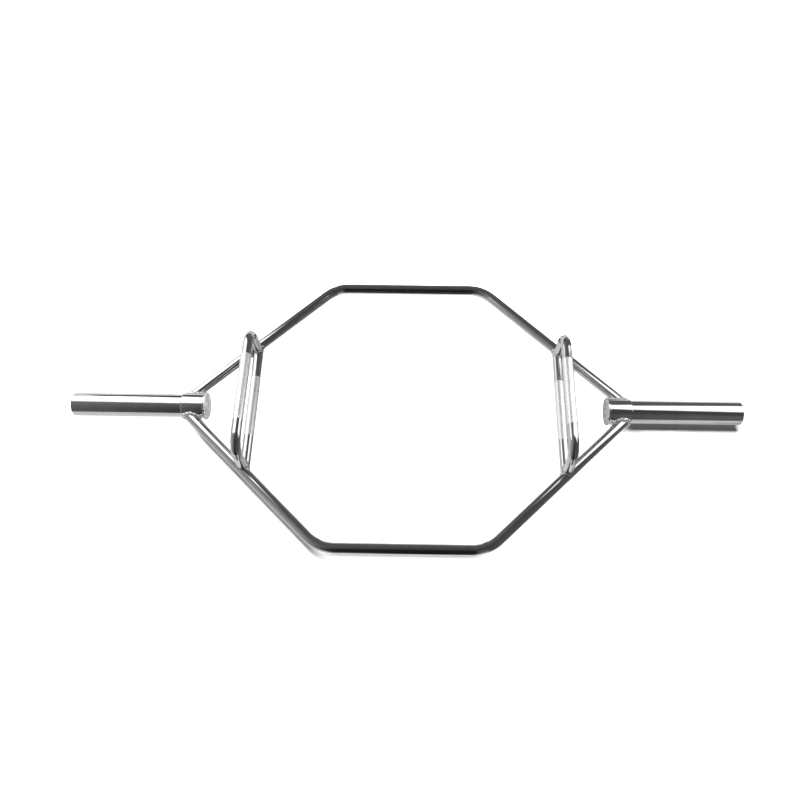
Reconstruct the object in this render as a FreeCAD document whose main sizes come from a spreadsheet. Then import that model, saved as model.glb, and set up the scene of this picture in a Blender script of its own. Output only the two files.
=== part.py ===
"""Hex trap bar: a welded six-sided bar frame with two plate sleeves, low grips and raised handles.

X runs along the sleeves (+X is the right-hand sleeve), +Y is the rear of the frame and +Z is up.
The origin lies on the ground under the middle of the hexagon. Lengths are in millimetres.
"""
import FreeCAD, Part
import os
from math import atan2, pi, tan

import Sketcher
from FreeCAD import Rotation, Vector

# Driving sizes, one plain number for each name
SIZES = {
    # plate sleeves
    "overall_length": 1420.0,
    "sleeve_diameter": 49.0,
    "sleeve_wall": 5.0,
    "sleeve_step": 0.5,
    "sleeve_end_chamfer": 1.5,
    "plug_thickness": 8.0,
    "plug_recess": 1.5,
    "plug_edge_chamfer": 1.0,
    "slip_clearance": 0.1,
    # hubs that join the sleeves to the frame
    "hub_spacing": 850.0,
    "disc_overhang": 2.5,
    "disc_thickness": 5.0,
    "disc_edge_chamfer": 1.0,
    "collar_wall": 2.9,
    "collar_length": 45.0,
    "rod_seat_share": 0.6,
    # hexagonal frame, measured on the centre lines of its bars
    "frame_bar_diameter": 22.2,
    "frame_depth": 610.0,
    "straight_run": 334.0,
    "frame_bend_radius": 78.0,
    # low grips in the plane of the frame
    "grip_diameter": 21.3,
    "grip_offset": 3.0,
    "grip_knurl_length": 140.0,
    # raised handles over the low grips
    "handle_diameter": 21.3,
    "handle_spacing": 666.0,
    "handle_rise": 92.5,
    "handle_leg_inset": 8.3,
    "handle_bend_radius": 38.0,
    "handle_foot_height": 4.0,
    "handle_knurl_length": 150.0,
    "knurl_rise": 0.5,
    # weld beads
    "collar_weld_leg": 6.0,
    "handle_weld_leg": 3.0,
    "disc_weld_leg": 2.0,
    "seam_weld_length": 3.5,
}

# Places and radii that several pieces share
HUB_FACE = "sizes.hub_spacing / 2"
DISC_BACK = f"({HUB_FACE} + sizes.disc_thickness)"
COLLAR_END = f"({DISC_BACK} + sizes.collar_length)"
SHOULDER = f"({COLLAR_END} + sizes.seam_weld_length)"
SLEEVE_END = "sizes.overall_length / 2"
PLUG_FACE = f"({SLEEVE_END} - sizes.plug_recess)"
SLEEVE_RADIUS = "sizes.sleeve_diameter / 2"
BORE_RADIUS = f"({SLEEVE_RADIUS} - sizes.sleeve_wall)"
NECK_RADIUS = f"({SLEEVE_RADIUS} - sizes.sleeve_step)"
COLLAR_BORE = f"({NECK_RADIUS} + sizes.slip_clearance)"
COLLAR_RADIUS = f"({COLLAR_BORE} + sizes.collar_wall)"
DISC_RADIUS = f"({COLLAR_RADIUS} + sizes.disc_overhang)"
AXIS_HEIGHT = DISC_RADIUS
BAR_RADIUS = "sizes.frame_bar_diameter / 2"
GRIP_RADIUS = "sizes.grip_diameter / 2"
HANDLE_RADIUS = "sizes.handle_diameter / 2"

# Oblique runs of the frame bars: their centre lines meet the round of the collar at the rod seat,
# and would cross the sleeve axis at the apex
ROD_SEAT = f"({DISC_BACK} + sizes.collar_length * sizes.rod_seat_share)"
OBLIQUE_SLOPE = f"((sizes.frame_depth / 2 - {COLLAR_RADIUS}) / ({ROD_SEAT} - sizes.straight_run / 2))"
APEX_PLACE = f"({ROD_SEAT} + {COLLAR_RADIUS} / {OBLIQUE_SLOPE})"

# Grips: the raised handle's feet stand on the oblique runs, and the low grip lies a little inboard of it
HANDLE_PLACE = "sizes.handle_spacing / 2"
LEG_PLACE = f"(({APEX_PLACE} - {HANDLE_PLACE}) * {OBLIQUE_SLOPE} - sizes.handle_leg_inset)"
GRIP_PLACE = f"({HANDLE_PLACE} - sizes.grip_offset)"
GRIP_HALF = f"(({APEX_PLACE} - {GRIP_PLACE}) * {OBLIQUE_SLOPE})"

ALONG_X = Rotation(Vector(0, 1, 0), 90)
ALONG_Y = Rotation(Vector(1, 0, 0), -90)
FLIP_X = Vector(1, 0, 0)
FLIP_Y = Vector(0, 1, 0)

doc = FreeCAD.newDocument("hex_trap_bar")
sheet = doc.addObject("Spreadsheet::Sheet", "sizes")
nodes = {}


def fill_sheet():
    """Write every driving size to its own cell, under its own alias."""
    for row, (alias, value) in enumerate(SIZES.items(), start=1):
        sheet.set(f"A{row}", alias)
        sheet.set(f"B{row}", str(value))
        sheet.setAlias(f"B{row}", alias)
    doc.recompute()


def value_of(expression):
    """Present value of an expression of the driving sizes."""
    return float(sheet.evalExpression(expression))


def place(piece, x=None, y=None, z=AXIS_HEIGHT):
    """Bind the place of a piece, by default at the height of the sleeve axis."""
    for axis, expression in (("x", x), ("y", y), ("z", z)):
        if expression:
            piece.setExpression(f"Placement.Base.{axis}", expression)


# Sketches and bodies

def new_body(label):
    """Empty body."""
    body = doc.addObject("PartDesign::Body", label)
    body.Label = label
    return body


def origin_plane(body, role):
    """One of the body's own origin planes."""
    return next(item for item in body.Origin.OriginFeatures if item.Role == role)


def new_sketch(body, name, role):
    """Sketch on one of the body's own origin planes."""
    sketch = body.newObject("Sketcher::SketchObject", name)
    sketch.AttachmentSupport = (origin_plane(body, role), [""])
    sketch.MapMode = "FlatFace"
    return sketch


def hold(sketch, kind, *arguments, name, expression):
    """Add a dimension to a sketch and bind it."""
    index = sketch.addConstraint(Sketcher.Constraint(kind, *arguments, value_of(expression)))
    sketch.renameConstraint(index, name)
    sketch.setExpression(f"Constraints.{name}", expression)


def hold_point(sketch, item, end, name, x, y):
    """Hold a point of a sketch at x and y, where None means on the axis."""
    horizontal_axis, vertical_axis = -1, -2
    for kind, expression, axis in (("DistanceX", x, vertical_axis), ("DistanceY", y, horizontal_axis)):
        if expression:
            hold(sketch, kind, item, end, name=f"{name}_{kind}", expression=expression)
        else:
            sketch.addConstraint(Sketcher.Constraint("PointOnObject", item, end, axis))


def outline(sketch, corners):
    """Closed outline of straight lines through corners given as pairs of expressions."""
    points = [Vector(value_of(x) if x else 0, value_of(y) if y else 0, 0) for x, y in corners]
    count = len(points)
    for index in range(count):
        sketch.addGeometry(Part.LineSegment(points[index], points[(index + 1) % count]), False)
    for index in range(count):
        sketch.addConstraint(Sketcher.Constraint("Coincident", index, 2, (index + 1) % count, 1))
        hold_point(sketch, index, 1, f"corner{index}", *corners[index])


def circle(sketch, x, y, radius):
    """Circle about a bound point."""
    centre = Vector(value_of(x) if x else 0, value_of(y) if y else 0, 0)
    sketch.addGeometry(Part.Circle(centre, Vector(0, 0, 1), value_of(radius)), False)
    hold_point(sketch, 0, 3, "centre", x, y)
    hold(sketch, "Radius", 0, name="radius", expression=radius)


def bent_path(sketch, height, corner, end_x, end_y, radius):
    """Centre line of one bent half: level from the middle, an arc at the corner, then straight to the end."""
    level, bend, leg, knee = range(4)
    end_point = Vector(value_of(end_x), value_of(end_y) if end_y else 0, 0)
    knee_point = Vector(value_of(corner), value_of(height), 0)
    fall = knee_point.y - end_point.y
    turn = atan2(fall, end_point.x - knee_point.x)
    bend_radius = value_of(radius)
    tangent = bend_radius * tan(turn / 2)
    bend_start = knee_point - Vector(tangent, 0, 0)
    bend_end = knee_point + (end_point - knee_point).normalize() * tangent
    bend_centre = bend_start - Vector(0, bend_radius, 0)
    bend_circle = Part.Circle(bend_centre, Vector(0, 0, 1), bend_radius)
    sketch.addGeometry(Part.LineSegment(Vector(0, knee_point.y, 0), bend_start), False)
    sketch.addGeometry(Part.ArcOfCircle(bend_circle, pi / 2 - turn, pi / 2), False)
    sketch.addGeometry(Part.LineSegment(bend_end, end_point), False)
    sketch.addGeometry(Part.Point(knee_point), True)
    sketch.addConstraint(Sketcher.Constraint("Tangent", level, 2, bend, 2))
    sketch.addConstraint(Sketcher.Constraint("Tangent", bend, 1, leg, 1))
    sketch.addConstraint(Sketcher.Constraint("Horizontal", level))
    sketch.addConstraint(Sketcher.Constraint("PointOnObject", knee, 1, level))
    sketch.addConstraint(Sketcher.Constraint("PointOnObject", knee, 1, leg))
    hold_point(sketch, level, 1, "middle", None, height)
    hold_point(sketch, leg, 2, "end", end_x, end_y)
    hold(sketch, "DistanceX", knee, 1, name="corner", expression=corner)
    hold(sketch, "Radius", bend, name="bend", expression=radius)


def turned(label, corners, axis="H_Axis", role="XY_Plane"):
    """Body turned about an axis of its sketch."""
    body = new_body(label)
    sketch = new_sketch(body, "profile", role)
    outline(sketch, corners)
    turn = body.newObject("PartDesign::Revolution", "turned")
    turn.Profile = sketch
    turn.ReferenceAxis = (sketch, [axis])
    turn.Angle = 360
    return body


def bent_bar(label, radius, path_role, profile_role, path, middle):
    """Round bar bent alike on both sides of its middle."""
    body = new_body(label)
    spine = new_sketch(body, "centre_line", path_role)
    bent_path(spine, *path)
    section = new_sketch(body, "section", profile_role)
    circle(section, *middle, radius)
    doc.recompute()
    bar = body.newObject("PartDesign::AdditivePipe", "half_bar")
    bar.Profile = section
    bar.Spine = (spine, [])
    doc.recompute()
    both = body.newObject("PartDesign::Mirrored", "whole_bar")
    both.Originals = [bar]
    both.MirrorPlane = (origin_plane(body, profile_role), [""])
    body.Tip = both
    return body


# Joining and copying of pieces

def cylinder(label, radius, length, rotation, x=None, y=None, z=AXIS_HEIGHT):
    """Round envelope used to shape other pieces."""
    piece = doc.addObject("Part::Cylinder", label)
    piece.Label = label
    piece.Placement.Rotation = rotation
    piece.setExpression("Radius", radius)
    piece.setExpression("Height", length)
    place(piece, x, y, z)
    return piece


def fused(label, pieces):
    """Union of pieces, used only to shape others."""
    union = doc.addObject("Part::MultiFuse", label)
    union.Label = label
    union.Shapes = pieces
    return union


def common(label, first, second):
    """Shared space of two envelopes."""
    shared = doc.addObject("Part::Common", label)
    shared.Label = label
    shared.Base = first
    shared.Tool = second
    return shared


def cut(label, base, neighbours):
    """Piece with the room of its neighbours taken away, one after another."""
    for neighbour in neighbours:
        piece = doc.addObject("Part::Cut", label)
        piece.Label = f"{label}_clear_of_{neighbour.Label}"
        piece.Base = base
        piece.Tool = neighbour
        base = piece
    piece.Label = label
    return piece


def mirrored(label, source, normal):
    """Mirror image of a piece across the middle of the frame."""
    image = doc.addObject("Part::Mirroring", label)
    image.Label = label
    image.Source = source
    image.Normal = normal
    return image


def keep(piece):
    """List a finished piece under its label."""
    nodes[piece.Label] = piece
    return piece


def keep_pair(right):
    """Keep a right-hand piece and its left-hand mirror image."""
    keep(right)
    return keep(mirrored(right.Label.replace("right", "left"), right, FLIP_X))


def keep_four(right_rear):
    """Keep a right rear piece and its images at the other three corners."""
    keep_pair(right_rear)
    keep_pair(mirrored(right_rear.Label.replace("rear", "front"), right_rear, FLIP_Y))


# Hubs and sleeves, turned about the sleeve axis

def make_sleeve():
    """Plate sleeve: a tube from the end disc out, turned down where the collar and seam bead sit on it."""
    chamfer = "sizes.sleeve_end_chamfer"
    sleeve = turned("right_sleeve", [
        (DISC_BACK, BORE_RADIUS),
        (SLEEVE_END, BORE_RADIUS),
        (SLEEVE_END, f"{SLEEVE_RADIUS} - {chamfer}"),
        (f"{SLEEVE_END} - {chamfer}", SLEEVE_RADIUS),
        (SHOULDER, SLEEVE_RADIUS),
        (SHOULDER, NECK_RADIUS),
        (DISC_BACK, NECK_RADIUS),
    ])
    place(sleeve)
    return sleeve


def make_plug():
    """Plug pressed into the open end of the sleeve, a little below its edge."""
    radius = f"({BORE_RADIUS} - sizes.slip_clearance)"
    back = f"{PLUG_FACE} - sizes.plug_thickness"
    chamfer = "sizes.plug_edge_chamfer"
    plug = turned("right_sleeve_plug", [
        (back, None),
        (PLUG_FACE, None),
        (PLUG_FACE, f"{radius} - {chamfer}"),
        (f"{PLUG_FACE} - {chamfer}", radius),
        (back, radius),
    ])
    place(plug)
    return plug


def make_collar():
    """Collar slipped over the sleeve: the plates stop against it and the frame is welded to it."""
    collar = turned("right_collar", [
        (DISC_BACK, COLLAR_BORE),
        (COLLAR_END, COLLAR_BORE),
        (COLLAR_END, COLLAR_RADIUS),
        (DISC_BACK, COLLAR_RADIUS),
    ])
    place(collar)
    return collar


def make_disc():
    """Disc that closes the inner end of collar and sleeve."""
    chamfer = "sizes.disc_edge_chamfer"
    disc = turned("right_end_disc", [
        (HUB_FACE, None),
        (DISC_BACK, None),
        (DISC_BACK, DISC_RADIUS),
        (f"{HUB_FACE} + {chamfer}", DISC_RADIUS),
        (HUB_FACE, f"{DISC_RADIUS} - {chamfer}"),
    ])
    place(disc)
    return disc


def make_disc_weld():
    """Fillet bead in the corner between the end disc and the collar."""
    leg = "sizes.disc_weld_leg"
    weld = turned("right_disc_weld", [
        (DISC_BACK, COLLAR_RADIUS),
        (f"{DISC_BACK} + {leg}", COLLAR_RADIUS),
        (DISC_BACK, f"{COLLAR_RADIUS} + {leg}"),
    ])
    place(weld)
    return weld


def make_seam_weld():
    """Bead that ramps from the collar down to the shoulder of the sleeve."""
    weld = turned("right_seam_weld", [
        (COLLAR_END, NECK_RADIUS),
        (SHOULDER, NECK_RADIUS),
        (SHOULDER, SLEEVE_RADIUS),
        (COLLAR_END, COLLAR_RADIUS),
    ])
    place(weld)
    return weld


# Bars

def frame_bar(label, radius):
    """Frame bar along the rear half of the hexagon, out to the sleeve axis."""
    path = ("sizes.frame_depth / 2", "sizes.straight_run / 2", APEX_PLACE, None, "sizes.frame_bend_radius")
    bar = bent_bar(label, radius, "XY_Plane", "YZ_Plane", path, ("sizes.frame_depth / 2", None))
    place(bar)
    return bar


def grip_bar():
    """Low grip before its ends are coped, with a knurled middle."""
    knurl_half = "sizes.grip_knurl_length / 2"
    knurl_radius = f"{GRIP_RADIUS} + sizes.knurl_rise"
    bar = turned("right_grip_bar", [
        (None, f"-{GRIP_HALF}"),
        (GRIP_RADIUS, f"-{GRIP_HALF}"),
        (GRIP_RADIUS, f"-{knurl_half}"),
        (knurl_radius, f"-{knurl_half}"),
        (knurl_radius, knurl_half),
        (GRIP_RADIUS, knurl_half),
        (GRIP_RADIUS, GRIP_HALF),
        (None, GRIP_HALF),
    ], axis="V_Axis")
    place(bar, x=GRIP_PLACE)
    return bar


def handle_bar():
    """Raised handle before its feet are coped: a bar bent into an arch, with a knurled middle."""
    path = ("sizes.handle_rise", LEG_PLACE, LEG_PLACE, "sizes.handle_foot_height", "sizes.handle_bend_radius")
    bar = bent_bar("right_handle_bar", HANDLE_RADIUS, "YZ_Plane", "XZ_Plane", path,
                   (None, "sizes.handle_rise"))
    ring = new_sketch(bar, "knurl_section", "XZ_Plane")
    circle(ring, None, "sizes.handle_rise", f"{HANDLE_RADIUS} + sizes.knurl_rise")
    knurl = bar.newObject("PartDesign::Pad", "knurl")
    knurl.Profile = ring
    knurl.SideType = "Symmetric"
    knurl.setExpression("Length", "sizes.handle_knurl_length")
    bar.Tip = knurl
    place(bar, x=HANDLE_PLACE)
    return bar


def make_assembly():
    """Every piece of the bar, in its place."""
    disc_weld = make_disc_weld()
    seam_weld = make_seam_weld()
    for piece in (make_sleeve(), make_plug(), make_collar(), make_disc(), disc_weld, seam_weld):
        keep_pair(piece)

    # frame bars, coped to the round of the collars
    bar = frame_bar("rear_bar", BAR_RADIUS)
    front_bar = mirrored("front_bar", bar, FLIP_Y)
    hub = cylinder("right_hub", COLLAR_RADIUS, SLEEVE_END, ALONG_X)
    left_hub = mirrored("left_hub", hub, FLIP_X)
    rear_rod = keep(cut("rear_frame_rod", bar, [hub, left_hub]))
    keep(mirrored("front_frame_rod", rear_rod, FLIP_Y))

    # low grips, coped to the frame bars, and raised handles, coped to both
    grip = grip_bar()
    handle = handle_bar()
    keep_pair(cut("right_low_grip", grip, [bar, front_bar]))
    keep_pair(cut("right_raised_handle", handle, [bar, front_bar, grip]))

    # beads where the frame bars meet the collars
    collar_leg = "sizes.collar_weld_leg"
    fat_bar = frame_bar("collar_weld_bar", f"{BAR_RADIUS} + {collar_leg}")
    fat_collar = cylinder("collar_weld_hub", f"{COLLAR_RADIUS} + {collar_leg}", "sizes.collar_length", ALONG_X,
                          x=DISC_BACK)
    bead = common("collar_bead", fat_bar, fat_collar)
    keep_four(cut("right_rear_collar_weld", bead, [bar, hub, disc_weld, seam_weld]))

    # beads where the low grips and the raised handles meet the frame bars
    leg = "sizes.handle_weld_leg"
    fat_frame = frame_bar("handle_weld_bar", f"{BAR_RADIUS} + {leg}")
    fat_grip = cylinder("handle_weld_grip", f"{GRIP_RADIUS} + {leg}", f"{GRIP_HALF} - {leg}", ALONG_Y,
                        x=GRIP_PLACE)
    fat_foot = cylinder("handle_weld_foot", f"{HANDLE_RADIUS} + {leg}", "sizes.handle_rise / 2", Rotation(),
                        x=HANDLE_PLACE, y=LEG_PLACE, z=f"{AXIS_HEIGHT} + sizes.handle_foot_height")
    foot_bead = common("foot_bead", fat_foot, fused("foot_bead_seat", [fat_frame, fat_grip]))
    foot_weld = cut("right_rear_handle_weld", foot_bead, [bar, grip, handle])
    keep_four(foot_weld)
    grip_bead = common("grip_bead", fat_grip, fat_frame)
    keep_four(cut("right_rear_grip_weld", grip_bead, [bar, grip, handle, foot_weld]))


def check_and_write():
    """Stop on any failed object, then write one file for each piece."""
    failed = [item.Label for item in doc.Objects if {"Invalid", "Error"} & set(item.State)]
    for label, piece in nodes.items():
        shape = piece.Shape
        if shape.isNull() or not shape.isValid() or len(shape.Solids) != 1:
            failed.append(label)
    if failed:
        raise RuntimeError(f"failed pieces: {sorted(set(failed))}")
    os.makedirs("parts", exist_ok=True)
    for label, piece in nodes.items():
        piece.Shape.exportStep(os.path.join("parts", f"{label}.step"))
        print(f"{label}: {piece.Shape.Volume:.1f} cubic millimetres")


fill_sheet()
make_assembly()
doc.recompute()
check_and_write()
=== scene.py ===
from math import atan2, cos, pi, radians, sin, sqrt, tan

import bmesh
import bpy
import numpy as np
from mathutils import Matrix, Vector


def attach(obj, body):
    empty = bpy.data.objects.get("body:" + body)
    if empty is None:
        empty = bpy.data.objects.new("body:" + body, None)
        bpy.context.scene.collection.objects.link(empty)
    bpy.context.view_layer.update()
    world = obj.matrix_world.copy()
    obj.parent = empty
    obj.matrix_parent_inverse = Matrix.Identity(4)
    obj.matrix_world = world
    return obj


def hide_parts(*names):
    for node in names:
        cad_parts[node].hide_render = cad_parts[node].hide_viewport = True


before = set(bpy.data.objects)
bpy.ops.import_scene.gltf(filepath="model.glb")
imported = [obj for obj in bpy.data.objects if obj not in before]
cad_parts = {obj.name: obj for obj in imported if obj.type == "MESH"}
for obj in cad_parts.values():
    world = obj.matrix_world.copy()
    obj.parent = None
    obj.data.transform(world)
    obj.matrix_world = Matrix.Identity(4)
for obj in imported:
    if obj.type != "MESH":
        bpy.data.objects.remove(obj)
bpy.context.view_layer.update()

# Sizes of the solids, in metres
AXIS_HEIGHT = 0.0295
SLEEVE_END, SHOULDER, COLLAR_END, DISC_BACK, HUB_FACE = 0.710, 0.4785, 0.475, 0.430, 0.425
SLEEVE_R, NECK_R, BORE_R, COLLAR_R, DISC_R = 0.0245, 0.024, 0.0195, 0.027, 0.0295
PLUG_FACE, PLUG_BACK, PLUG_R = 0.7085, 0.7005, 0.0194
BAR_R, GRIP_R, HANDLE_R = 0.0111, 0.01065, 0.01065
HALF_DEPTH, HALF_RUN, ROD_SEAT, FRAME_BEND = 0.305, 0.167, 0.457, 0.078
SLOPE = (HALF_DEPTH - COLLAR_R) / (ROD_SEAT - HALF_RUN)
APEX = ROD_SEAT + COLLAR_R / SLOPE
HANDLE_X, GRIP_X = 0.333, 0.330
HANDLE_TOP, HANDLE_BEND, FOOT_HEIGHT, LEG_INSET = 0.0925, 0.038, 0.004, 0.0083
LEG_Y = (APEX - HANDLE_X) * SLOPE - LEG_INSET
GRIP_HALF = (APEX - GRIP_X) * SLOPE
GRIP_KNURL, HANDLE_KNURL = 0.070, 0.075
COLLAR_LEG, HANDLE_LEG, DISC_LEG = 0.006, 0.003, 0.002
GRIP_LEG = 0.9 * HANDLE_LEG
SEAM_LENGTH = SHOULDER - COLLAR_END

# Sizes of the finish, in metres
SINK = 0.0002  # how far a bead or a coped end reaches into its neighbour
TIP_R = 0.0002  # ring at the middle of a turned face, closed by a fan
COLLAR_GAP = 0.0001  # between the sleeve's neck and the collar
KNURL_STARTS, KNURL_PITCH, KNURL_RISE, KNURL_FADE = 44, 0.00264, 0.00046, 0.0018
KNURL_VALLEY_SHARE = 0.45
KNURL_AROUND = 4 * KNURL_STARTS

SIDES = (("right", 1), ("left", -1))
ENDS = (("rear", 1), ("front", -1))
ALONG_Y = np.array([0.0, 1.0, 0.0])
UP = np.array([0.0, 0.0, 1.0])

rng = np.random.default_rng(7)


# Meshes

def dressed(node, slot, points, faces, material, sharp=38):
    """Piece that stands for one CAD node, from points in the part's frame."""
    mesh = bpy.data.meshes.new(f"{node}_finished")
    mesh.from_pydata(points, [], faces)
    work = bmesh.new()
    work.from_mesh(mesh)
    bmesh.ops.recalc_face_normals(work, faces=work.faces)
    work.to_mesh(mesh)
    work.free()
    mesh.shade_smooth()
    mesh.set_sharp_from_angle(angle=radians(sharp))
    piece = bpy.data.objects.new(f"{node}_finished", mesh)
    bpy.context.scene.collection.objects.link(piece)
    piece.data.materials.append(material)
    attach(piece, "root")
    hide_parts(node)


def skin(rings, closed=False):
    """Points and faces of a skin over rings of points, closed on itself or with a fan over each end."""
    rings = np.asarray(rings, float)
    count, around = rings.shape[:2]
    points = rings.reshape(-1, 3).tolist()
    row = np.arange(count if closed else count - 1)[:, None]
    column = np.arange(around)[None, :]
    following = (row + 1) % count
    beside = (column + 1) % around
    quads = np.stack([row * around + column, row * around + beside,
                      following * around + beside, following * around + column], axis=-1)
    faces = quads.reshape(-1, 4).tolist()
    if not closed:
        for first in (0, (count - 1) * around):
            points.append(np.mean(rings[first // around], axis=0).tolist())
            tip = len(points) - 1
            faces += [(first + k, first + (k + 1) % around, tip) for k in range(around)]
    return points, faces


def rounded(corners, steps=5):
    """Profile of (along, radius, fillet) corners, with an arc at each corner that has a fillet."""
    line = []
    count = len(corners)
    for index, (x, y, fillet) in enumerate(corners):
        here = Vector((x, y))
        if not fillet:
            line.append(here)
            continue
        back = (Vector(corners[index - 1][:2]) - here).normalized()
        ahead = (Vector(corners[(index + 1) % count][:2]) - here).normalized()
        half = back.angle(ahead) / 2
        centre = here + (back + ahead).normalized() * (fillet / sin(half))
        start = here + back * (fillet / tan(half)) - centre
        end = here + ahead * (fillet / tan(half)) - centre
        first = atan2(start.y, start.x)
        swing = (atan2(end.y, end.x) - first + pi) % (2 * pi) - pi
        for k in range(steps + 1):
            turn = first + swing * k / steps
            line.append(centre + Vector((cos(turn), sin(turn))) * fillet)
    return line


def turned(node, slot, profile, side, material, around, closed=True, wave=None):
    """Piece turned about the sleeve axis; a wave adds a small height to the radius."""
    turn = np.linspace(0, 2 * pi, around, endpoint=False)
    rings = []
    for along, radius in profile:
        r = np.full(around, radius) + (wave(along, turn) if wave else 0)
        rings.append(np.stack([np.full(around, side * along), r * np.cos(turn),
                               AXIS_HEIGHT + r * np.sin(turn)], axis=1))
    dressed(node, slot, *skin(rings, closed), material)


def bent_line(corners, radius, steps=28):
    """Points and directions along straight runs, with an arc at each inner corner."""
    corners = [np.asarray(c, float) for c in corners]
    points, ways = [corners[0]], [corners[1] - corners[0]]
    for before, here, after in zip(corners[:-2], corners[1:-1], corners[2:]):
        back, ahead = before - here, after - here
        back, ahead = back / np.linalg.norm(back), ahead / np.linalg.norm(ahead)
        half = np.arccos(back @ ahead) / 2
        centre = here + (back + ahead) / np.linalg.norm(back + ahead) * radius / sin(half)
        start = here + back * radius / tan(half) - centre
        end = here + ahead * radius / tan(half) - centre
        sweep = pi - 2 * half
        for share in np.linspace(0, 1, steps + 1):
            arm = (sin((1 - share) * sweep) * start + sin(share * sweep) * end) / sin(sweep)
            points.append(centre + arm)
            ways.append((1 - share) * -back + share * ahead)
    points.append(corners[-1])
    ways.append(corners[-1] - corners[-2])
    return np.array(points), np.array([w / np.linalg.norm(w) for w in ways])


def ring(centre, way, binormal, radius):
    """Ring of points about a centre, across a direction; the radius may differ round the ring."""
    radius = np.asarray(radius)
    turn = np.linspace(0, 2 * pi, len(radius), endpoint=False)
    normal = np.cross(way, binormal)
    return centre + radius[:, None] * (np.cos(turn)[:, None] * normal + np.sin(turn)[:, None] * binormal)


def knurl(along, half):
    """Height of a diamond knurl round a bar, fading out at both ends."""
    turn = np.arange(KNURL_AROUND) / KNURL_AROUND
    lead = along / KNURL_PITCH
    one, two = (np.abs(2 * ((turn * KNURL_STARTS + sign * lead) % 1) - 1) for sign in (1, -1))
    fade = np.clip((half - abs(along)) / KNURL_FADE, 0, 1)
    peak = np.minimum(1 - one, 1 - two)
    return KNURL_RISE * (KNURL_VALLEY_SHARE + (1 - KNURL_VALLEY_SHARE) * peak) * fade


# Ripples of a bead, called coins, as shares of their spacing or of the bead's leg
COIN_SHIFT_SHARE, COIN_SIZE_SHARES = 0.12, (0.88, 1.08)
COIN_EDGE_SHARE, COIN_DOME_SHARE, COIN_WIDTH_SHARE = 0.56, 0.46, 0.60
CROWN_SHARE, CROWN_POINTS = 0.30, 9
STEEPEST, PROBE = 2.5, 0.0002  # greatest slope of a seat, and the distance over which it is measured


def fillet_bead(start, way, side_way, radius, reach, leg, coins, limits=None, around=168):
    """Closed skin of a rippled weld bead round a bar where it meets another surface.

    reach(across, up) gives how far along the bar, from its start, that surface lies at a point of its
    section. The limits, if any, are the least and the greatest distance from the middle along X.
    """
    up_way = np.cross(way, side_way)
    turn = np.linspace(0, 2 * pi, around, endpoint=False)
    coin_shift = rng.uniform(-COIN_SHIFT_SHARE, COIN_SHIFT_SHARE, coins)
    coin_size = rng.uniform(*COIN_SIZE_SHARES, coins)
    place = turn / (2 * pi) * coins
    number = np.floor(place).astype(int) % coins
    within = place % 1 - 0.5 + coin_shift[number]
    dome = np.sqrt(np.clip(1 - (within / COIN_WIDTH_SHARE) ** 2, 0, 1))
    size = leg * coin_size[number] * (COIN_EDGE_SHARE + COIN_DOME_SHARE * dome)
    rings = []
    for angle, length in zip(turn, size):
        out = cos(angle) * side_way + sin(angle) * up_way
        corner_at = reach(radius * cos(angle), radius * sin(angle))
        further = reach((radius + PROBE) * cos(angle), (radius + PROBE) * sin(angle))
        slope = np.clip((further - corner_at) / PROBE, -STEEPEST, STEEPEST)
        corner = start + radius * out + corner_at * way
        along = (out + slope * way) / sqrt(1 + slope ** 2)
        on_bar = corner - length * way
        on_seat = corner + length * along
        into_bar = -out * SINK
        into_seat = (way - slope * out) / sqrt(1 + slope ** 2) * SINK
        bulge = (out - way) / np.linalg.norm(out - way)
        section = [on_bar + into_bar]
        for share in np.linspace(0, 1, CROWN_POINTS):
            crown = length * CROWN_SHARE * sin(pi * share)
            section.append(on_bar * (1 - share) + on_seat * share + bulge * crown)
        section.append(on_seat + into_seat)
        section.append(corner + into_bar + into_seat)
        rings.append(section)
    rings = np.array(rings)
    if limits:
        rings[..., 0] = np.sign(rings[..., 0]) * np.clip(np.abs(rings[..., 0]), *limits)
    return skin(rings, closed=True)


# Shader nodes

def new_material(name):
    """Empty node material, its tree and its shader."""
    material = bpy.data.materials.new(name)
    material.use_nodes = True
    tree = material.node_tree
    return material, tree, tree.nodes["Principled BSDF"]


def add(tree, kind, **values):
    """New node with its own settings."""
    node = tree.nodes.new(kind)
    for name, value in values.items():
        setattr(node, name, value)
    return node


def feed(tree, socket, value):
    """Give an input a number or a colour, or link another node's output to it."""
    if isinstance(value, (int, float, tuple)):
        socket.default_value = value
    else:
        tree.links.new(value, socket)


def object_place(tree):
    """Place in the object's own coordinates, in metres."""
    return add(tree, "ShaderNodeTexCoord").outputs["Object"]


def place_axes(tree, kind):
    """The three coordinates of a place or direction."""
    axes = add(tree, "ShaderNodeSeparateXYZ")
    tree.links.new(add(tree, "ShaderNodeTexCoord").outputs[kind], axes.inputs["Vector"])
    return [axes.outputs[k] for k in "XYZ"]


def noise(tree, place, scale, detail=3.0, stretch=None):
    """Noise over a place, in features per metre."""
    texture = add(tree, "ShaderNodeTexNoise")
    texture.inputs["Scale"].default_value = scale
    texture.inputs["Detail"].default_value = detail
    if stretch:
        mapping = add(tree, "ShaderNodeMapping")
        mapping.inputs["Scale"].default_value = stretch
        tree.links.new(place, mapping.inputs["Vector"])
        place = mapping.outputs["Vector"]
    tree.links.new(place, texture.inputs["Vector"])
    return texture.outputs["Fac"]


def spread(tree, value, low=0, high=1, start=0.35, end=0.65):
    """Noise stretched from its usual span over a new range."""
    node = add(tree, "ShaderNodeMapRange")
    tree.links.new(value, node.inputs["Value"])
    for name, number in (("From Min", start), ("From Max", end), ("To Min", low), ("To Max", high)):
        node.inputs[name].default_value = number
    return node.outputs["Result"]


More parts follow.
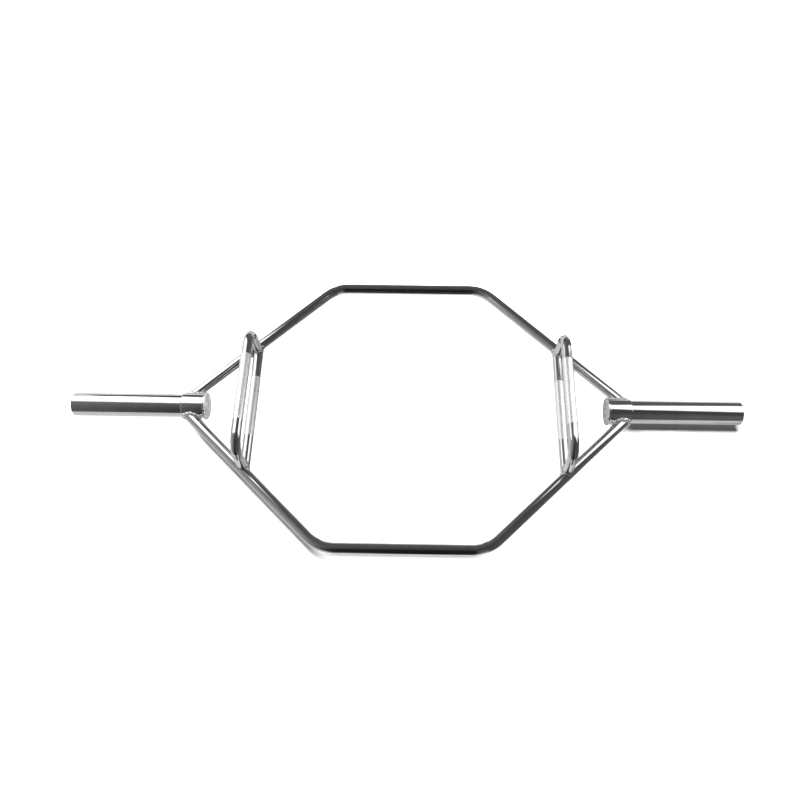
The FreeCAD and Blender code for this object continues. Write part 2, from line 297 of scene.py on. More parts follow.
def tint(tree, value, dark, light):
    """Colour that runs from dark to light with a value."""
    ramp = add(tree, "ShaderNodeValToRGB")
    ramp.color_ramp.elements[0].color = (*dark, 1)
    ramp.color_ramp.elements[1].color = (*light, 1)
    tree.links.new(value, ramp.inputs["Fac"])
    return ramp.outputs["Color"]


def grey(level):
    """Colour of one level in all three channels."""
    return (level, level, level)


def bump(tree, height, strength, distance, normal=None):
    """Bump from a height in metres."""
    node = add(tree, "ShaderNodeBump")
    node.inputs["Strength"].default_value = strength
    node.inputs["Distance"].default_value = distance
    tree.links.new(height, node.inputs["Height"])
    if normal:
        tree.links.new(normal, node.inputs["Normal"])
    return node.outputs["Normal"]


def result_of(tree, kind, first, second=0):
    """Result of one calculation on two values, each an output or a number."""
    node = add(tree, "ShaderNodeMath", operation=kind)
    feed(tree, node.inputs[0], first)
    feed(tree, node.inputs[1], second)
    return node.outputs[0]


def product(tree, first, *others):
    """Values multiplied together."""
    for value in others:
        first = result_of(tree, "MULTIPLY", first, value)
    return first


def rest_of(tree, share):
    """What a share leaves of one."""
    return result_of(tree, "SUBTRACT", 1.0, share)


def soft_step(tree, value, start, end):
    """Share that runs smoothly from 0 at the start value to 1 at the end value."""
    node = add(tree, "ShaderNodeMapRange", interpolation_type="SMOOTHSTEP")
    tree.links.new(value, node.inputs["Value"])
    node.inputs["From Min"].default_value = start
    node.inputs["From Max"].default_value = end
    return node.outputs["Result"]


def band(tree, value, rise, fall):
    """Share that rises over one stretch of a value and falls again over another."""
    return product(tree, soft_step(tree, value, *rise), soft_step(tree, value, *fall))


def between(tree, share, low, high, kind="FLOAT"):
    """Value, or colour, between two others by a share."""
    node = add(tree, "ShaderNodeMix", data_type=kind)
    for name, value in (("Factor", share), ("A", low), ("B", high)):
        feed(tree, node.inputs[name], value)
    return node.outputs["Result"]


def colour_between(tree, share, low, high):
    """Colour between two others, by a share."""
    return between(tree, share, low, high, "RGBA")


# Materials, with grain and waves in features per metre

CHROME_TINTS = (0.77, 0.78, 0.79), (0.84, 0.845, 0.85)
CHROME_WAVES, CHROME_LINES = 55, 900
CHROME_WAVE_DEPTH, CHROME_LINE_DEPTH, CHROME_LINE_STRENGTH = 0.001, 0.00005, 0.06
KNURL_TINTS, KNURL_GLOSS, KNURL_METAL = (grey(0.84), grey(0.93)), (0.24, 0.34), 0.895
KNURL_EDGE = (0.0005, -0.0015)


def chrome(name, gloss=(0.035, 0.075), lines=None, wobble=0.05, knurled=0.0):
    """Polished chrome plate with faint polishing lines, uneven gloss and a slight waviness.

    A bar along Y that is knurled for some way on both sides of its middle is whiter and less glossy there.
    """
    material, tree, shader = new_material(name)
    place = object_place(tree)
    soft = noise(tree, place, CHROME_WAVES, detail=2)
    fine = noise(tree, place, CHROME_LINES, detail=4, stretch=lines)
    colour = tint(tree, spread(tree, soft), *CHROME_TINTS)
    rough, metal = spread(tree, fine, *gloss), 1.0
    if knurled:
        along = result_of(tree, "ABSOLUTE", place_axes(tree, "Object")[1])
        middle = soft_step(tree, along, *(knurled + edge for edge in KNURL_EDGE))
        rough = between(tree, middle, rough, spread(tree, fine, *KNURL_GLOSS))
        colour = colour_between(tree, middle, colour, tint(tree, spread(tree, fine), *KNURL_TINTS))
        metal = between(tree, middle, metal, KNURL_METAL)
    feed(tree, shader.inputs["Metallic"], metal)
    tree.links.new(colour, shader.inputs["Base Color"])
    tree.links.new(rough, shader.inputs["Roughness"])
    wavy = bump(tree, soft, wobble, CHROME_WAVE_DEPTH)
    lined = bump(tree, fine, CHROME_LINE_STRENGTH, CHROME_LINE_DEPTH, wavy)
    tree.links.new(lined, shader.inputs["Normal"])
    return material


SATIN_COARSENESS, SATIN_STRENGTH = 6, 0.5


def satin(name, dark, light, gloss, grain, depth, metal=1.0):
    """Satin or rough metal with a grain in its colour, gloss and height."""
    material, tree, shader = new_material(name)
    place = object_place(tree)
    coarse = noise(tree, place, grain / SATIN_COARSENESS)
    fine = noise(tree, place, grain, detail=4)
    shader.inputs["Metallic"].default_value = metal
    tree.links.new(tint(tree, spread(tree, coarse), dark, light), shader.inputs["Base Color"])
    tree.links.new(spread(tree, fine, *gloss), shader.inputs["Roughness"])
    tree.links.new(bump(tree, fine, SATIN_STRENGTH, depth), shader.inputs["Normal"])
    return material


PLATE_MOTTLE, PLATE_GRAIN, PLATE_DEPTH, PLATE_STRENGTH = 260, 1500, 0.0003, 0.25
PLATE_GLOSS, PLATE_METAL = (0.34, 0.52), 0.27
RIM_TINTS, RIM_GLOSS = ((0.76, 0.77, 0.78), (0.83, 0.84, 0.84)), 0.09
RIM_RAGGED, RIM_EDGE = 0.004, (-0.0010, -0.0007)


def end_plate(name, dark, light):
    """Mottled satin plate whose rim is as bright as the collar, with a ragged edge between the two."""
    material, tree, shader = new_material(name)
    place = object_place(tree)
    mottle = noise(tree, place, PLATE_MOTTLE, detail=4)
    fine = noise(tree, place, PLATE_GRAIN, detail=4)
    from_middle = result_of(tree, "ABSOLUTE", place_axes(tree, "Object")[0])
    depth = result_of(tree, "SUBTRACT", from_middle, HUB_FACE)
    ragged = result_of(tree, "SUBTRACT", depth, product(tree, mottle, RIM_RAGGED))
    rim = soft_step(tree, ragged, *RIM_EDGE)
    face_tint = tint(tree, spread(tree, mottle), grey(dark), grey(light))
    colour = colour_between(tree, rim, face_tint, tint(tree, mottle, *RIM_TINTS))
    tree.links.new(colour, shader.inputs["Base Color"])
    rough = between(tree, rim, spread(tree, fine, *PLATE_GLOSS), RIM_GLOSS)
    tree.links.new(rough, shader.inputs["Roughness"])
    tree.links.new(between(tree, rim, PLATE_METAL, 1.0), shader.inputs["Metallic"])
    tree.links.new(bump(tree, mottle, PLATE_STRENGTH, PLATE_DEPTH), shader.inputs["Normal"])
    return material


LINES_ALONG_X, LINES_ALONG_Y = (0.3, 4, 4), (4, 0.3, 4)
rod_chrome = chrome("rod_chrome")
sleeve_chrome = chrome("sleeve_chrome", (0.05, 0.11), LINES_ALONG_X, wobble=0.03)
collar_chrome = chrome("collar_chrome", (0.06, 0.12), LINES_ALONG_X)
seam_chrome = chrome("seam_chrome", (0.07, 0.13), wobble=0.1)
grip_chrome = chrome("grip_chrome", (0.05, 0.10), LINES_ALONG_Y, knurled=GRIP_KNURL)
handle_chrome = chrome("handle_chrome", (0.05, 0.10), LINES_ALONG_Y, knurled=HANDLE_KNURL)
# Both discs are the same steel: the right plate's darker tints are painted shade and the left plate's
# lighter tints are painted light, for how the lamps fall on each
disc_steel = {1: end_plate("right_disc_steel_painted_shade", dark=0.075, light=0.385),
              -1: end_plate("left_disc_steel_painted_light", dark=0.11, light=0.64)}
plug_steel = satin("plug_steel", (0.52, 0.52, 0.53), grey(0.62), gloss=(0.30, 0.50),
                   grain=1400, depth=0.00004)
bright_weld = satin("bright_weld", grey(0.74), grey(0.95), gloss=(0.10, 0.22),
                    grain=700, depth=0.0002, metal=0.88)
weld_metal = satin("weld_metal", (0.62, 0.62, 0.61), (0.80, 0.80, 0.79), gloss=(0.14, 0.28),
                   grain=700, depth=0.0002)


# Hubs and sleeves

def make_sleeve(name, side):
    """Plate sleeve with a chamfered outer end and a neck under the collar."""
    chamfer, edge, brow = 0.0015, 0.0004, 0.0008
    profile = rounded([(DISC_BACK, BORE_R, 0), (SLEEVE_END, BORE_R, edge),
                       (SLEEVE_END, SLEEVE_R - chamfer, edge), (SLEEVE_END - chamfer, SLEEVE_R, brow),
                       (SHOULDER, SLEEVE_R, 0), (SHOULDER, NECK_R, 0), (DISC_BACK, NECK_R, 0)])
    turned(f"{name}_sleeve", "sleeve_chrome", profile, side, sleeve_chrome, around=160)


def make_plug(name, side):
    """Plug in the outer end of the sleeve."""
    chamfer, edge = 0.001, 0.0003
    profile = rounded([(PLUG_FACE, TIP_R, 0), (PLUG_FACE, PLUG_R - chamfer, edge),
                       (PLUG_FACE - chamfer, PLUG_R, edge), (PLUG_BACK, PLUG_R, 0), (PLUG_BACK, TIP_R, 0)])
    turned(f"{name}_sleeve_plug", "plug_steel", profile, side, plug_steel, around=96, closed=False)


def make_collar(name, side):
    """Collar over the sleeve's neck."""
    edge = 0.0006
    profile = rounded([(DISC_BACK, NECK_R + COLLAR_GAP, 0), (COLLAR_END, NECK_R + COLLAR_GAP, 0),
                       (COLLAR_END, COLLAR_R, edge), (DISC_BACK, COLLAR_R, 0)])
    turned(f"{name}_collar", "collar_chrome", profile, side, collar_chrome, around=160)


def make_disc(name, side):
    """End disc, very slightly dished, with a rounded rim."""
    dish, dish_r, face_r = 0.00004, 0.012, 0.024
    chamfer, edge, back_edge = 0.0012, 0.0011, 0.0016
    profile = rounded([(HUB_FACE, TIP_R, 0), (HUB_FACE + dish, dish_r, 0), (HUB_FACE, face_r, 0),
                       (HUB_FACE, DISC_R - chamfer, edge), (HUB_FACE + chamfer, DISC_R, edge),
                       (DISC_BACK, DISC_R, back_edge), (DISC_BACK, NECK_R, 0), (DISC_BACK, TIP_R, 0)])
    turned(f"{name}_end_disc", "disc_steel", profile, side, disc_steel[side], around=160, closed=False)


HOLLOW_POINTS = 10


def hollow(share):
    """Share of a small bead's height left at a share of its length, for a bead ground hollow."""
    return (1 - sqrt(1 - (1 - share) ** 2)) ** 2


def make_disc_bead(name, side):
    """Low rippled bead in the corner of disc and collar."""
    coins, ripple_height, ripple_level_share, lift_shares = 64, 0.00004, 0.7, (-1.0, 5 / 6)
    low, thin, sharpness = 0.0008, 0.00005, 1.5
    lift = rng.uniform(*lift_shares, coins)

    def ripple(along, turn):
        """Height of the ripples, for the points that lie free of the disc."""
        place = turn / (2 * pi) * coins
        number = np.floor(place).astype(int) % coins
        height = np.abs(np.sin(pi * place)) - ripple_level_share + lift[number]
        return ripple_height * height * (1 if along > DISC_BACK + SINK else 0)

    rise = DISC_LEG - low
    profile = [(DISC_BACK, COLLAR_R - SINK), (DISC_BACK - SINK, COLLAR_R + rise)]
    for share in np.linspace(0, 1, HOLLOW_POINTS):
        radius = COLLAR_R + thin + rise * hollow(share) ** sharpness
        profile.append((DISC_BACK + DISC_LEG * share, radius))
    profile.append((DISC_BACK + DISC_LEG, COLLAR_R - SINK))
    turned(f"{name}_disc_weld", "weld_metal", profile, side, seam_chrome, around=320, wave=ripple)


def make_seam_bead(name, side):
    """Ground ramp from the collar's end down to the sleeve, a little uneven."""
    free_length, unevenness, slow_waves, quick_waves = 0.0034, 0.00003, 9, 23
    buried, low = 0.0005, 0.0006

    def uneven(along, turn):
        """Height of the waves, for the points that lie free."""
        free = 0 < along - COLLAR_END + SINK < free_length
        waves = np.sin(slow_waves * turn + 1) + np.sin(quick_waves * turn)
        return unevenness * waves * (1 if free else 0)

    profile = [(COLLAR_END - SINK, NECK_R + COLLAR_GAP), (COLLAR_END - SINK, COLLAR_R - buried)]
    for share in np.linspace(0, 1, HOLLOW_POINTS):
        radius = SLEEVE_R + (COLLAR_R - SLEEVE_R - low) * hollow(share)
        profile.append((COLLAR_END + SEAM_LENGTH * share, radius))
    profile.append((SHOULDER, NECK_R + COLLAR_GAP))
    turned(f"{name}_seam_weld", "seam_chrome", profile, side, seam_chrome, around=200, wave=uneven)


# Frame rods, grips and handles

def make_rod(name, side):
    """Bent frame rod, coped to the round of both collars, with its beads."""
    around, coins, end_y = 72, 12, 0.060
    from_disc, from_seam = 0.0006, 0.0001
    end_x = APEX - end_y / SLOPE
    corners = [(-end_x, side * end_y, AXIS_HEIGHT), (-HALF_RUN, side * HALF_DEPTH, AXIS_HEIGHT),
               (HALF_RUN, side * HALF_DEPTH, AXIS_HEIGHT), (end_x, side * end_y, AXIS_HEIGHT)]
    points, ways = bent_line(corners, FRAME_BEND)
    rings = [ring(p, w, UP, np.full(around, BAR_R)) for p, w in zip(points, ways)]

    def coped(base, way):
        """Ring slid along the rod until it meets the collar."""
        depth = COLLAR_R - SINK
        room = np.sqrt(depth ** 2 - (base[:, 2] - AXIS_HEIGHT) ** 2)
        return base + ((np.abs(base[:, 1]) - room) / abs(way[1]))[:, None] * way

    rings = [coped(rings[0], -ways[0])] + rings + [coped(rings[-1], ways[-1])]
    dressed(f"{name}_frame_rod", "frame_chrome", *skin(rings), rod_chrome)

    for hub, sign in SIDES:
        start = np.array([sign * end_x, side * end_y, AXIS_HEIGHT])
        way = np.array([sign * cos(atan2(SLOPE, 1)), -side * sin(atan2(SLOPE, 1)), 0.0])
        side_way = np.cross(UP, way)

        def to_collar(across, rise, start=start, way=way, side_way=side_way):
            """Way along the rod from its start to the collar."""
            base = start + across * side_way + rise * UP
            return (abs(base[1]) - sqrt(max(COLLAR_R ** 2 - rise ** 2, 0.0))) / abs(way[1])

        bead = fillet_bead(start, way, side_way, BAR_R, to_collar, COLLAR_LEG, coins,
                           (DISC_BACK + from_disc, COLLAR_END - from_seam))
        dressed(f"{hub}_{name}_collar_weld", "weld_metal", *bead, bright_weld)


def rod_surface(x, z):
    """Inner face of the rear oblique rod: y at a place x and a height z from the rod's axis."""
    return SLOPE * (APEX - x) - sqrt(max(BAR_R ** 2 - z * z, 0.0)) * sqrt(1 + SLOPE ** 2)


def make_low_grip(name, side):
    """Straight grip with a knurled middle, coped to both rods, with its beads."""
    rows, coins, plain_end = 213, 13, 0.030
    middle = np.array([side * GRIP_X, 0.0, AXIS_HEIGHT])
    plain = np.full(KNURL_AROUND, GRIP_R)

    def end_ring(sign):
        """Ring slid along the grip until it meets the rod."""
        base = ring(middle, ALONG_Y, UP, plain)
        base[:, 1] = [sign * (rod_surface(abs(x), z - AXIS_HEIGHT) + SINK) for x, y, z in base]
        return base

    edge = GRIP_HALF - plain_end
    rings = [end_ring(-1)]
    for y in [-edge, *np.linspace(-GRIP_KNURL, GRIP_KNURL, rows), edge]:
        rise = knurl(y, GRIP_KNURL) if abs(y) <= GRIP_KNURL else 0
        rings.append(ring(middle + y * ALONG_Y, ALONG_Y, UP, plain + rise))
    rings.append(end_ring(1))
    dressed(f"{name}_low_grip", "grip_chrome", *skin(rings), grip_chrome, sharp=30)

    side_way = np.array([float(side), 0.0, 0.0])
    for part, sign in ENDS:
        way = sign * ALONG_Y
        facing = np.cross(way, side_way)[2]

        def to_rod(across, rise, facing=facing):
            """Way along the grip from its middle to the rod."""
            return rod_surface(GRIP_X + across, rise * facing)

        bead = fillet_bead(middle, way, side_way, GRIP_R, to_rod, GRIP_LEG, coins)
        dressed(f"{name}_{part}_grip_weld", "weld_metal", *bead, weld_metal)


def foot_level(x, y):
    """Height above the frame's plane where a foot meets the rod or the low grip below it."""
    from_rod = abs(SLOPE * (APEX - abs(x)) - abs(y)) / sqrt(1 + SLOPE ** 2)
    from_grip = abs(abs(x) - GRIP_X)
    level = FOOT_HEIGHT
    if from_rod < BAR_R:
        level = max(level, sqrt(BAR_R ** 2 - from_rod ** 2))
    if from_grip < GRIP_R and abs(y) < GRIP_HALF:
        level = max(level, sqrt(GRIP_R ** 2 - from_grip ** 2))
    return level


def make_handle(name, side):
    """Raised handle: a bar bent into an arch with a knurled middle, coped at its feet, with its beads."""
    rows, coins, foot_rise = 229, 13, 0.030
    x = side * HANDLE_X
    foot = AXIS_HEIGHT + foot_rise
    top = AXIS_HEIGHT + HANDLE_TOP
    corners = [(x, -LEG_Y, foot), (x, -LEG_Y, top), (x, LEG_Y, top), (x, LEG_Y, foot)]
    points, ways = bent_line(corners, HANDLE_BEND)
    binormal = np.array([1.0, 0.0, 0.0])
    plain = np.full(KNURL_AROUND, HANDLE_R)
    bare = [ring(p, w, binormal, plain) for p, w in zip(points, ways)]
    knurled = [ring(np.array([x, y, top]), ALONG_Y, binormal, plain + knurl(y, HANDLE_KNURL))
               for y in np.linspace(-HANDLE_KNURL, HANDLE_KNURL, rows)]

    def coped(base):
        """Ring let down until it meets the rod and the low grip."""
        low = base.copy()
        low[:, 2] = [AXIS_HEIGHT + foot_level(px, py) - SINK for px, py, pz in base]
        return low

    half = len(points) // 2
    rings = [coped(bare[0])] + bare[:half] + knurled + bare[half:] + [coped(bare[-1])]
    dressed(f"{name}_raised_handle", "handle_chrome", *skin(rings), handle_chrome, sharp=30)

    way = -UP
    side_way = np.array([float(side), 0.0, 0.0])
    flip = np.cross(way, side_way)[1]
    for part, sign in ENDS:
        start = np.array([x, sign * LEG_Y, foot])

        def to_frame(across, rise, sign=sign):
            """Way down the leg from its start to the rod or the low grip."""
            return foot_rise - foot_level(HANDLE_X + across, sign * LEG_Y + rise * flip)

        bead = fillet_bead(start, way, side_way, HANDLE_R, to_frame, HANDLE_LEG, coins)
        dressed(f"{name}_{part}_handle_weld", "weld_metal", *bead, weld_metal)


for label, way_out in SIDES:
    make_sleeve(label, way_out)
    make_plug(label, way_out)
    make_collar(label, way_out)
    make_disc(label, way_out)
    make_disc_bead(label, way_out)
    make_seam_bead(label, way_out)
    make_low_grip(label, way_out)
    make_handle(label, way_out)
for label, way_out in ENDS:
    make_rod(label, way_out)


# Studio

PANEL_HEIGHT, PANEL_FRONT, PANEL_REAR, PANEL_STRENGTH = AXIS_HEIGHT + 0.62, -1.5, 2.5, 1.5
WALL_PLACE, WALL_FOOT, WALL_FRONT, WALL_REAR = 1.4, -0.3, -0.2, 1.8
WALL_RISE = (-0.22, 0.03)
LIGHT_EDGE, REAR_EDGE = 0.06, 0.09
ROOF_LIGHT = {-1: dict(inner=0.42, inner_turn=-0.2, front=-0.15, front_turn=0.19,
                       rear=0.065, rear_turn=1.156),
              1: dict(inner=0.30, inner_turn=0.0, front=0.17, front_turn=-0.30,
                      rear=0.035, rear_turn=0.653)}
WALL_LIGHT = {-1: dict(front=0.394, rear=1.51, strength=0.79),
              1: dict(front=0.18, rear=0.80, strength=1.08)}


def glow(name, corners, cover, strength):
    """Soft-edged light panel that shows in the metal only; cover gives its share of light at a place."""
    mesh = bpy.data.meshes.new(name)
    mesh.from_pydata(corners, [], [(0, 1, 2, 3)])
    panel = bpy.data.objects.new(name, mesh)
    bpy.context.scene.collection.objects.link(panel)
    material, tree, shader = new_material(name)
    tree.nodes.remove(shader)
    light = add(tree, "ShaderNodeEmission")
    light.inputs["Strength"].default_value = strength
    mix = add(tree, "ShaderNodeMixShader")
    tree.links.new(cover(tree, *place_axes(tree, "Object")), mix.inputs["Fac"])
    tree.links.new(add(tree, "ShaderNodeBsdfTransparent").outputs["BSDF"], mix.inputs[1])
    tree.links.new(light.outputs["Emission"], mix.inputs[2])
    tree.links.new(mix.outputs["Shader"], tree.nodes["Material Output"].inputs["Surface"])
    mesh.materials.append(material)
    panel.visible_camera = False
    panel.visible_diffuse = False
    panel.visible_shadow = False


def around_edge(edge, soft):
    """Stretch of a soft edge, from its dark end to its light end; a negative softness turns it round."""
    return edge - soft, edge + soft


def make_roof_light(label, side):
    """Light panel over a sleeve, whose edges run aslant."""
    size = ROOF_LIGHT[side]

    def cover(tree, x, y, z):
        """Share of light on the panel."""
        across = product(tree, x, side)
        from_front = result_of(tree, "SUBTRACT", y, product(tree, across, size["front_turn"]))
        from_rear = result_of(tree, "SUBTRACT", y, product(tree, across, size["rear_turn"]))
        from_inner = result_of(tree, "SUBTRACT", across, product(tree, y, size["inner_turn"]))
        return product(tree, soft_step(tree, from_inner, *around_edge(size["inner"], LIGHT_EDGE)),
                       soft_step(tree, from_front, *around_edge(size["front"], LIGHT_EDGE)),
                       soft_step(tree, from_rear, *around_edge(size["rear"], -REAR_EDGE)))

    far = side * WALL_PLACE
    corners = [(0, PANEL_FRONT, PANEL_HEIGHT), (far, PANEL_FRONT, PANEL_HEIGHT),
               (far, PANEL_REAR, PANEL_HEIGHT), (0, PANEL_REAR, PANEL_HEIGHT)]
    glow(f"{label}_light_panel", corners, cover, PANEL_STRENGTH)


def make_wall_light(label, side):
    """Lit wall beyond a sleeve, towards the rear."""
    size = WALL_LIGHT[side]

    def cover(tree, x, y, z):
        """Share of light on the wall."""
        wide = band(tree, y, around_edge(size["front"], LIGHT_EDGE), around_edge(size["rear"], -LIGHT_EDGE))
        return product(tree, soft_step(tree, z, *WALL_RISE), wide)

    far = side * WALL_PLACE
    corners = [(far, WALL_FRONT, WALL_FOOT), (far, WALL_REAR, WALL_FOOT),
               (far, WALL_REAR, PANEL_HEIGHT), (far, WALL_FRONT, PANEL_HEIGHT)]
    glow(f"{label}_light_wall", corners, cover, size["strength"])


FLOOR_HALF, FLOOR_DROP, FLOOR_GRAIN = 6, 0.0002, 40
# SHADE_TINT is painted shadow: the paper's darker colour in the strip under the left front rod
PAPER_TINTS, SHADE_TINT = (grey(0.64), grey(0.70)), grey(0.30)
SLEEVE_SHADE = dict(start=(0.455, 0.485), end=(0.76, 0.72), across=(0.20, 0.12))
# Painted shadow strips under the left front rod and the front rod, and the share of the floor's glow each
# takes away
STRIP_INNER, STRIP_FADE, STRIP_END = (-0.016, -0.010), 0.009, 0.03
LEFT_STRIP = dict(reach=0.020, start=-0.45, end=-0.17)
FRONT_STRIP = dict(reach=0.0115, start=-0.15, end=0.15)
LEFT_STRIP_SHARE, FRONT_STRIP_SHARE = 0.9, 0.85


def make_floor():
    """Pale floor that stays white, with the lamps' shadow let through under the right sleeve and painted
    shadow strips under the front rods.
    """
    mesh = bpy.data.meshes.new("floor")
    corners = [(-FLOOR_HALF, -FLOOR_HALF, 0), (FLOOR_HALF, -FLOOR_HALF, 0),
               (FLOOR_HALF, FLOOR_HALF, 0), (-FLOOR_HALF, FLOOR_HALF, 0)]
    mesh.from_pydata(corners, [], [(0, 1, 2, 3)])
    floor = bpy.data.objects.new("floor", mesh)
    bpy.context.scene.collection.objects.link(floor)
    floor.location.z = -FLOOR_DROP
    floor.visible_glossy = False
    material, tree, shader = new_material("floor_paper")
    x, y, z = place_axes(tree, "Object")

    def painted_shadow_strip(outward, reach, start, end):
        """Painted shadow strip under a rod, as far out as it reaches, between two places along X."""
        wide = band(tree, outward, (reach, reach - STRIP_FADE), STRIP_INNER)
        run = band(tree, x, around_edge(start, STRIP_END), around_edge(end, -STRIP_END))
        return product(tree, wide, run)

    ahead = product(tree, y, -1)
    rod_line = product(tree, result_of(tree, "ADD", x, APEX), SLOPE)
    from_rod = result_of(tree, "DIVIDE", result_of(tree, "SUBTRACT", ahead, rod_line), sqrt(1 + SLOPE ** 2))
    # Painted shadow: strips outside the front rods lose most of the floor's glow and show grey; the lamps'
    # own shadow of the rods deepens them in part
    left_painted_shadow = painted_shadow_strip(from_rod, **LEFT_STRIP)
    front_painted_shadow = painted_shadow_strip(result_of(tree, "SUBTRACT", ahead, HALF_DEPTH), **FRONT_STRIP)
    along = band(tree, x, SLEEVE_SHADE["start"], SLEEVE_SHADE["end"])
    across = soft_step(tree, result_of(tree, "ABSOLUTE", y), *SLEEVE_SHADE["across"])
    shaded = product(tree, along, across)
    shaded = result_of(tree, "MAXIMUM", shaded, product(tree, left_painted_shadow, LEFT_STRIP_SHARE))
    shaded = result_of(tree, "MAXIMUM", shaded, product(tree, front_painted_shadow, FRONT_STRIP_SHARE))

    paper = tint(tree, noise(tree, object_place(tree), FLOOR_GRAIN), *PAPER_TINTS)
    # Painted shadow: the paper in the left strip is darkened towards SHADE_TINT
    tree.links.new(colour_between(tree, left_painted_shadow, paper, (*SHADE_TINT, 1)), shader.inputs["Base Color"])
    shader.inputs["Roughness"].default_value = 0.9
    shader.inputs["Emission Color"].default_value = (1, 1, 1, 1)
    tree.links.new(rest_of(tree, shaded), shader.inputs["Emission Strength"])
    mesh.materials.append(material)


LAMP_WATTS, LAMP_SIZE = {1: 39, -1: 51}, 0.46
LAMP_X, LAMP_Y, LAMP_HEIGHT = 0.60, 0.31, 1.3


def make_lamp(label, side):
    """Lamp overhead that lights what isn't mirror bright."""
    data = bpy.data.lights.new(f"{label}_overhead", "AREA")
    data.energy = LAMP_WATTS[side]
    data.size = LAMP_SIZE
    lamp = bpy.data.objects.new(f"{label}_overhead", data)
    bpy.context.scene.collection.objects.link(lamp)
    lamp.location = (side * LAMP_X, LAMP_Y, LAMP_HEIGHT)
    lamp.visible_glossy = False


# Light of the room by direction, with X to the right, Y to the rear and Z up

# Pairs of coordinates are soft steps: where the share is 0, then where it is 1
TINY = 1e-6
OVERHEAD_LEVELS, OVERHEAD_TURN = (0.074, 0.054), (-0.3, 0.3)
ROOM = dict(left=0.42, right=0.10, front=0.035, rear=0.13, turn=0.55)
GROUND = dict(upright=0.93, left=0.50, right=0.054, front=0.65, rear=0.80, turn=0.20)
GROUND_EDGE, GROUND_FRONT, GROUND_REAR, GROUND_REAR_RIGHT = 0.05, -0.284, 0.008, -0.20
GROUND_TURN, REAR_RIGHT = (-0.1, 0.1), (0.1, 0.24)
STEEP, RIGHT_TURN, NARROW = (-0.88, -0.72), (0.20, 0.40), (0.30, 0.20)
AHEAD_POWER, FLOOR_POWER, FLOOR_AHEAD_SHARE = 8.0, 1.6, 0.032
LOW_AHEAD, LOW_AHEAD_SHARE = (-0.36, -0.52), 0.3
STANDS, STANDS_SHARE = ((0.13, 0.16), (0.25, 0.22)), 0.10
GLEAM, GLEAM_HEIGHT, GLEAM_LEVEL = ((0.03, 0.09), (0.36, 0.22)), (0.94, 0.35), 0.072
LINE, LINE_HEIGHT, LINE_SHARE = (0.06, 0.12), (0.5, 0.35), 0.15


def room_level(tree):
    """Dim room, darkest to the front and paler to the left, over a pale ground that darkens ahead.

    Sideways is 0 straight ahead and straight behind, and 1 straight to either side.
    """
    x, y, z = place_axes(tree, "Generated")
    square_x = product(tree, x, x)
    square_both = result_of(tree, "ADD", square_x, product(tree, y, y))
    sideways = result_of(tree, "DIVIDE", square_x, result_of(tree, "ADD", square_both, TINY))
    to_right = result_of(tree, "GREATER_THAN", x)
    to_rear = result_of(tree, "GREATER_THAN", y)
    to_left, to_front = rest_of(tree, to_right), rest_of(tree, to_rear)
    low = rest_of(tree, result_of(tree, "ABSOLUTE", z))
    not_steep = soft_step(tree, z, *STEEP)
    narrow = soft_step(tree, sideways, *NARROW)

    def half(beside, upright, left, right, front, rear, turn):
        """Half of the room, from its level straight up or down to its levels at the horizon."""
        ahead_or_behind = between(tree, to_rear, front, rear)
        horizon = between(tree, beside, ahead_or_behind, between(tree, to_right, left, right))
        return between(tree, result_of(tree, "POWER", low, turn), upright, horizon)

    def dimmed(level, share, remaining):
        """Level of which only some remains in one part of the room."""
        return product(tree, level, between(tree, share, 1.0, remaining))

    dark = product(tree, result_of(tree, "POWER", rest_of(tree, sideways), AHEAD_POWER), to_front)
    dark_floor = product(tree, result_of(tree, "POWER", dark, FLOOR_POWER), not_steep)
    stands = product(tree, band(tree, result_of(tree, "ABSOLUTE", x), *STANDS), to_rear)
    turned_right = soft_step(tree, sideways, *RIGHT_TURN)
    beside = between(tree, product(tree, to_right, not_steep), sideways, turned_right)
    below = dimmed(half(beside, **GROUND), dark_floor, FLOOR_AHEAD_SHARE)
    below = dimmed(below, stands, STANDS_SHARE)

    overhead = between(tree, soft_step(tree, x, *OVERHEAD_TURN), *OVERHEAD_LEVELS)
    low_ahead = product(tree, dark, soft_step(tree, y, *LOW_AHEAD))
    above = dimmed(half(sideways, overhead, **ROOM), low_ahead, LOW_AHEAD_SHARE)
    gleam = product(tree, to_right, to_front, band(tree, sideways, *GLEAM),
                    soft_step(tree, z, *GLEAM_HEIGHT))
    above = result_of(tree, "ADD", above, product(tree, gleam, GLEAM_LEVEL))
    line = product(tree, to_rear, to_left, soft_step(tree, sideways, *LINE), narrow,
                   soft_step(tree, z, *LINE_HEIGHT))
    above = dimmed(above, line, LINE_SHARE)

    rear_right = product(tree, soft_step(tree, x, *REAR_RIGHT), narrow)
    rear_edge = between(tree, rear_right, GROUND_REAR, GROUND_REAR_RIGHT)
    edge = between(tree, soft_step(tree, y, *GROUND_TURN), GROUND_FRONT, rear_edge)
    over_edge = soft_step(tree, result_of(tree, "SUBTRACT", z, edge), -GROUND_EDGE, GROUND_EDGE)
    return between(tree, over_edge, below, above)


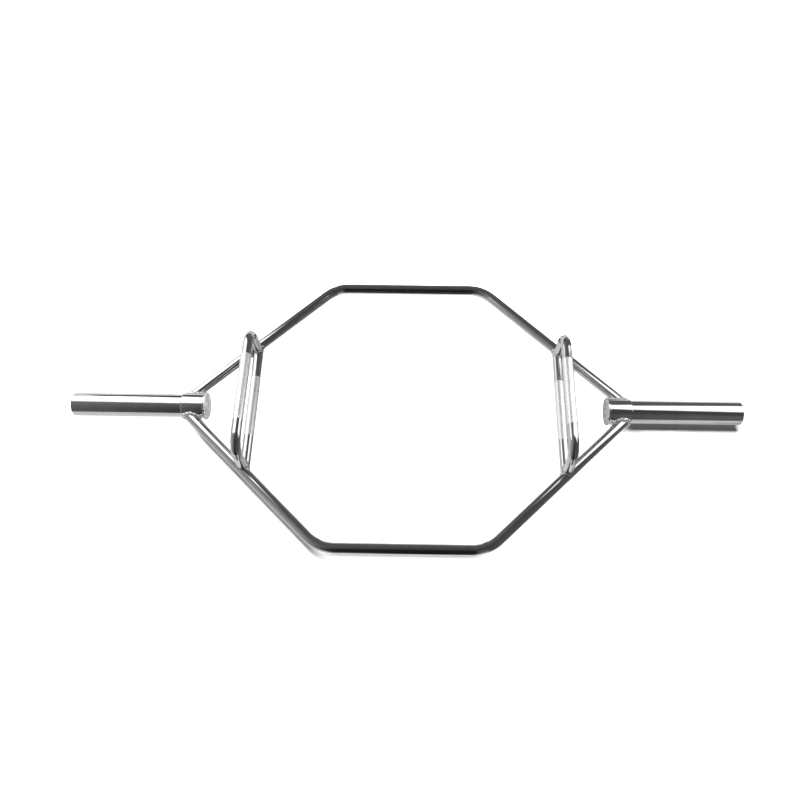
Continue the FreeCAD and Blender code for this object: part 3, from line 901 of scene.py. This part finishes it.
def make_world():
    """Room that the metal mirrors, with a plain white backdrop for the camera."""
    world = bpy.data.worlds.new("studio")
    bpy.context.scene.world = world
    world.use_nodes = True
    tree = world.node_tree
    tree.nodes.clear()
    backdrop = add(tree, "ShaderNodeBackground")
    room = add(tree, "ShaderNodeBackground")
    for background in (backdrop, room):
        background.inputs["Color"].default_value = (1, 1, 1, 1)
    tree.links.new(room_level(tree), room.inputs["Strength"])
    mix = add(tree, "ShaderNodeMixShader")
    tree.links.new(add(tree, "ShaderNodeLightPath").outputs["Is Camera Ray"], mix.inputs["Fac"])
    tree.links.new(room.outputs["Background"], mix.inputs[1])
    tree.links.new(backdrop.outputs["Background"], mix.inputs[2])
    output = add(tree, "ShaderNodeOutputWorld")
    tree.links.new(mix.outputs["Shader"], output.inputs["Surface"])


def make_camera():
    """Camera at the photograph's viewing angle, aimed at a point at the height of the sleeves."""
    focal_pixels, image_pixels, centre_across, centre_down = 772.5, 800, 416.5, 398.6
    elevation, azimuth, roll, distance = radians(63.665), radians(-1.040), radians(-0.116), 1.6609
    aim = Vector((0.0214, 0.0244, AXIS_HEIGHT))
    view = Vector((sin(azimuth) * cos(elevation), cos(azimuth) * cos(elevation), -sin(elevation)))
    right = Vector((cos(azimuth), -sin(azimuth), 0))
    up = right.cross(view)
    right, up = cos(roll) * right + sin(roll) * up, cos(roll) * up - sin(roll) * right
    data = bpy.data.cameras.new("camera")
    data.sensor_width = 36
    data.lens = focal_pixels / image_pixels * data.sensor_width
    data.shift_x = 0.5 - centre_across / image_pixels
    data.shift_y = centre_down / image_pixels - 0.5
    camera = bpy.data.objects.new("camera", data)
    bpy.context.scene.collection.objects.link(camera)
    turn = Matrix((right, up, -view)).transposed().to_4x4()
    camera.matrix_world = Matrix.Translation(aim - distance * view) @ turn
    bpy.context.scene.camera = camera


make_floor()
for label, way_out in SIDES:
    make_lamp(label, way_out)
for label, way_out in SIDES:
    make_roof_light(label, way_out)
    make_wall_light(label, way_out)
make_world()
make_camera()
bpy.context.scene.view_settings.view_transform = "Standard"
